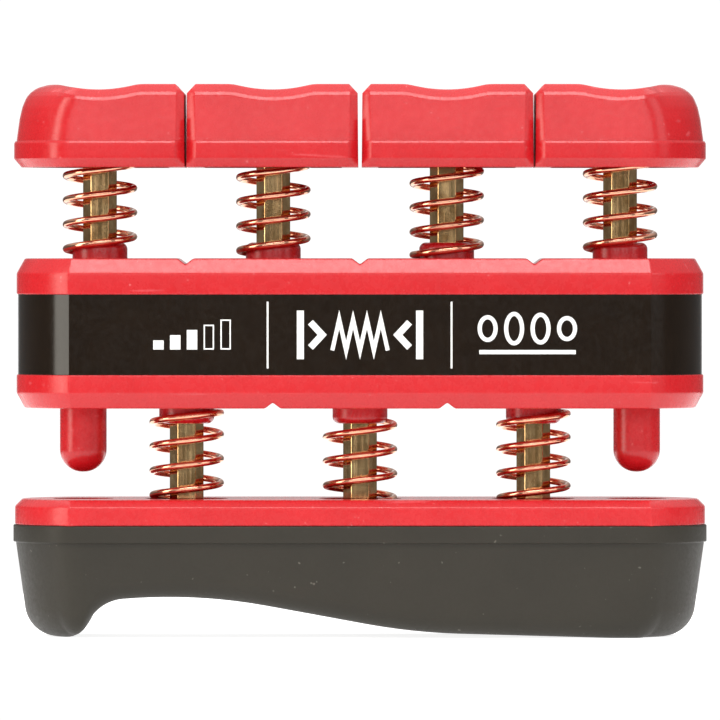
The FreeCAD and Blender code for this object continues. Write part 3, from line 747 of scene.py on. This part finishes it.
def spring_path(centre_x, foot, top, crossing):
    """Right-handed coil that crosses the front at a height, with its two ends laid flat at the back."""
    low = foot + WIRE_RADIUS
    high = top - WIRE_RADIUS
    first = -0.5 - max(math.ceil((crossing - low) / COIL_PITCH - FOOT_SPARE), 0)
    last = 0.5 + math.floor((high - crossing) / COIL_PITCH + TOP_SPARE)
    count = int((last - first) * POINTS_PER_TURN)
    points = []
    for index in range(count + 1):
        turn = mix(first, last, index / count)
        z = crossing + COIL_PITCH * turn
        z = low + soft_floor(z - low, SEAT_BLEND)
        z = high - soft_floor(high - z, SEAT_BLEND)
        angle = -math.pi / 2 + 2 * math.pi * turn
        points.append(Vector((centre_x + COIL_RADIUS * math.cos(angle), COIL_RADIUS * math.sin(angle), z)))
    return points


def make_spring(node, body, lift):
    """Spring whose first front strand crosses at a height above its foot."""
    low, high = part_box(node)
    centre = (low.x + high.x) / 2
    path = spring_path(centre, low.z, high.z, low.z + lift)
    mesh = tube_mesh(node + "_coil", path, WIRE_RADIUS)
    piece = new_piece(node + "_coil", mesh, MATERIALS["spring_wire"], body, (node,))
    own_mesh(piece)


for finger, lift in zip(FINGERS, FINGER_LIFTS):
    make_spring(f"finger_spring_{finger}", "housing", lift)
for stand, lift in zip(STANDS, PALM_LIFTS):
    make_spring(f"palm_spring_{stand}", "palm", lift)

# ---------------------------------------------------------------- print on the label

INK = 0.03 * MM
SUNK = 0.005 * MM
MITER_LIMIT = 0.2
OVAL_SIDES = 28
# All below in mm, from the middle of the label's face.
RULES = ((-11.0, -4.0, 3.95), (10.9, -4.0, 3.95))
RULE_WIDTH = 0.22
GAUGE_LEFT, GAUGE_STEP, GAUGE_FOOT = -24.0, 2.0, -1.75
GAUGE_LOW, GAUGE_GROWTH = 1.1, 0.62
GAUGE_BARS, GAUGE_SOLID = 5, 3
BAR_WIDTH, BOX_HALF, BOX_LINE = 1.25, 0.54, 0.16
STOP_X, STOP_HALF, STOP_WIDTH = 7.1, 2.9, 0.85
ARROW_TAIL, ARROW_TIP, ARROW_HALF, ARROW_WIDTH = 5.9, 4.5, 1.5, 0.8
ZIGZAG_START, ZIGZAG_STEP, ZIGZAG_HALF, ZIGZAG_WIDTH = -3.3, 0.825, 1.85, 0.48
ZIGZAG_POINTS = 9
PAD_LEFT, PAD_STEP, PAD_RAISED, PAD_HALF_WIDTH = 15.2, 3.15, 0.75, 0.95
PAD_HALF_HEIGHTS = (1.35, 1.75, 1.65, 1.25)
PAD_LINE = 0.5
BASE_LEFT, BASE_RIGHT, BASE_DROP = 14.2, 25.7, -2.05


def ribbon(build, points, width, front, closed=False):
    """Flat stroke of one width through points of the label's face, a little proud of it."""
    count = len(points)
    left, right = [], []
    for i, (x, z) in enumerate(points):
        before = points[i - 1] if closed or i > 0 else points[i]
        after = points[(i + 1) % count] if closed or i < count - 1 else points[i]
        first = Vector((x - before[0], z - before[1]))
        second = Vector((after[0] - x, after[1] - z))
        first = first.normalized() if first.length > 0 else second.normalized()
        second = second.normalized() if second.length > 0 else first
        across = Vector((-(first + second).y, (first + second).x)).normalized()
        reach = width / 2 / max(abs(across.dot(Vector((-first.y, first.x)))), MITER_LIMIT)
        left.append((x + across.x * reach, z + across.y * reach))
        right.append((x - across.x * reach, z - across.y * reach))
    proud = front - INK
    rows = []
    for a, b in zip(left, right):
        corners = ((a, front), (b, front), (b, proud), (a, proud))
        rows.append([build.verts.new((p[0], y, p[1])) for p, y in corners])
    pairs = list(zip(rows, rows[1:] + rows[:1])) if closed else list(zip(rows, rows[1:]))
    for first, second in pairs:
        for k in range(4):
            m = (k + 1) % 4
            build.faces.new((first[k], first[m], second[m], second[k]))
    if not closed:
        build.faces.new(rows[0])
        build.faces.new(rows[-1][::-1])


def oval(x, z, wide, tall):
    """Points round an oval with these half axes."""
    turns = [2 * math.pi * i / OVAL_SIDES for i in range(OVAL_SIDES)]
    return [(x + wide * math.cos(turn), z + tall * math.sin(turn)) for turn in turns]


def make_print():
    """White marks of our own: two rules, a level gauge, a squeezed spring and four finger pads."""
    low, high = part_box("label_band")
    middle = (low.z + high.z) / 2
    front = low.y + SUNK
    build = bmesh.new()

    def stroke(points, width, closed=False):
        ribbon(build, [(x * MM, middle + z * MM) for x, z in points], width * MM, front, closed)

    for x, foot, top in RULES:
        stroke([(x, foot), (x, top)], RULE_WIDTH)
    for step in range(GAUGE_BARS):
        x = GAUGE_LEFT + step * GAUGE_STEP
        top = GAUGE_FOOT + GAUGE_LOW + GAUGE_GROWTH * step
        if step < GAUGE_SOLID:
            stroke([(x, GAUGE_FOOT), (x, top)], BAR_WIDTH)
        else:
            sides, ends = (x - BOX_HALF, x + BOX_HALF), (GAUGE_FOOT + BOX_LINE / 2, top - BOX_LINE / 2)
            box = [(sides[0], ends[0]), (sides[1], ends[0]), (sides[1], ends[1]), (sides[0], ends[1])]
            stroke(box, BOX_LINE, True)
    for way in (-1, 1):
        stroke([(way * STOP_X, -STOP_HALF), (way * STOP_X, STOP_HALF)], STOP_WIDTH)
        arrow = [(way * ARROW_TAIL, ARROW_HALF), (way * ARROW_TIP, 0.0), (way * ARROW_TAIL, -ARROW_HALF)]
        stroke(arrow, ARROW_WIDTH)
    zigzag = []
    for i in range(ZIGZAG_POINTS):
        zigzag.append((ZIGZAG_START + ZIGZAG_STEP * i, ZIGZAG_HALF if i % 2 else -ZIGZAG_HALF))
    stroke(zigzag, ZIGZAG_WIDTH)
    for step, half_height in enumerate(PAD_HALF_HEIGHTS):
        stroke(oval(PAD_LEFT + step * PAD_STEP, PAD_RAISED, PAD_HALF_WIDTH, half_height), PAD_LINE, True)
    stroke([(BASE_LEFT, BASE_DROP), (BASE_RIGHT, BASE_DROP)], PAD_LINE)
    new_piece("label_print", mesh_of(build, "label_print", sharp=30), WHITE_PRINT, "housing")


make_print()

# ---------------------------------------------------------------- stage, camera and lights

CAMERA_DISTANCE = 1.4
CAMERA_HEIGHT = 0.047
VIEW_WIDTH = 0.0864
VIEW_HEIGHT = 0.0331
SENSOR_WIDTH = 36.0
FLOOR_REACH = 0.17
FLOOR_STEPS = 8
FLOOR_GLOW = 0.85
LIGHT_TARGET = (0, 0, 0.035)
# World strength: an axis, a range of the direction along it, and the strengths at that range's ends.
OVERHEAD = ("Z", (0.05, 0.9, 0.16, 0.95))
BEHIND = ("Y", (0.93, 0.995, 0.0, 1.0))
BACKDROP = 1.05
# Name, place, width, height, power and tint of each soft light.
WHITE, WARM = (1.0, 1.0, 1.0), (1.0, 0.96, 0.86)
LIGHTS = (
    ("top_front_box", (0.0, -0.52, 0.86), 0.80, 0.26, 5.4, WHITE),
    ("left_strip", (-0.72, -0.28, 0.20), 0.28, 0.8, 3.2, WARM),
    ("right_fill", (0.85, -0.45, 0.35), 0.5, 0.6, 1.5, WHITE),
    ("front_fill", (0.0, -1.3, 0.29), 1.8, 0.28, 4.5, WHITE),
    ("floor_wash", (0.0, 0.35, 1.0), 1.2, 0.8, 3.8, WHITE),
)


def aim(thing, place, target):
    """Puts a camera or a light at a place, looking at a target."""
    thing.location = place
    thing.rotation_euler = (Vector(target) - Vector(place)).to_track_quat("-Z", "Y").to_euler()


def make_camera():
    """Long lens from the front, a little above the middle of the object."""
    data = bpy.data.cameras.new("camera")
    camera = bpy.data.objects.new("camera", data)
    bpy.context.scene.collection.objects.link(camera)
    data.sensor_width = SENSOR_WIDTH
    data.lens = SENSOR_WIDTH * CAMERA_DISTANCE / VIEW_WIDTH
    data.clip_start = 0.01
    data.clip_end = 20.0
    aim(camera, (0, -CAMERA_DISTANCE, CAMERA_HEIGHT), (0, 0, VIEW_HEIGHT))
    bpy.context.scene.camera = camera


def make_floor():
    """Plain pale floor under the object, with a glow that ends it softly in the white round it."""
    build = bmesh.new()
    places = [mix(-FLOOR_REACH, FLOOR_REACH, i / FLOOR_STEPS) for i in range(FLOOR_STEPS + 1)]
    grid = [[build.verts.new((x, y, 0.0)) for x in places] for y in places]
    for lower, upper in zip(grid, grid[1:]):
        for i in range(FLOOR_STEPS):
            build.faces.new((lower[i], lower[i + 1], upper[i + 1], upper[i]))
    mesh = mesh_of(build, "floor")
    floor = bpy.data.objects.new("floor", mesh)
    bpy.context.scene.collection.objects.link(floor)
    n = Nodes("pale_floor")
    cloud = n.remap(n.noise(6, 2), *NOISE_SPREAD)
    n.colour(n.mix_colour(cloud, (0.58, 0.58, 0.58), (0.62, 0.62, 0.62)))
    n.set(Roughness=0.9, Emission_Color=(1, 1, 1, 1), Emission_Strength=FLOOR_GLOW)
    mesh.materials.append(n.material)


def soft_light(name, place, width, height, power, tint):
    """Rectangular area light that looks at the middle of the object."""
    data = bpy.data.lights.new(name, "AREA")
    data.shape = "RECTANGLE"
    data.size = width
    data.size_y = height
    data.energy = power
    data.color = tint
    light = bpy.data.objects.new(name, data)
    bpy.context.scene.collection.objects.link(light)
    aim(light, place, LIGHT_TARGET)


def make_world():
    """White round the object; what it reflects is dim low down in front, and bright overhead and behind."""
    world = bpy.data.worlds.new("studio")
    world.use_nodes = True
    tree = world.node_tree
    background = tree.nodes["Background"]
    coords = tree.nodes.new("ShaderNodeTexCoord")
    parts = tree.nodes.new("ShaderNodeSeparateXYZ")
    tree.links.new(coords.outputs["Generated"], parts.inputs["Vector"])
    brightest = tree.nodes.new("ShaderNodeMath")
    brightest.operation = "MAXIMUM"
    for socket, (axis, limits) in enumerate((OVERHEAD, BEHIND)):
        ramp = tree.nodes.new("ShaderNodeMapRange")
        ramp.interpolation_type = "SMOOTHSTEP"
        for name, number in zip(RANGE_SOCKETS, limits):
            ramp.inputs[name].default_value = number
        tree.links.new(parts.outputs[axis], ramp.inputs["Value"])
        tree.links.new(ramp.outputs["Result"], brightest.inputs[socket])
    paths = tree.nodes.new("ShaderNodeLightPath")
    seen = tree.nodes.new("ShaderNodeMix")
    seen.data_type = "FLOAT"
    tree.links.new(paths.outputs["Is Camera Ray"], seen.inputs[0])
    tree.links.new(brightest.outputs[0], seen.inputs[2])
    seen.inputs[3].default_value = BACKDROP
    tree.links.new(seen.outputs[0], background.inputs["Strength"])
    background.inputs["Color"].default_value = (1, 1, 1, 1)
    bpy.context.scene.world = world


make_camera()
make_floor()
make_world()
for light in LIGHTS:
    soft_light(*light)
bpy.context.scene.view_settings.view_transform = "Standard"
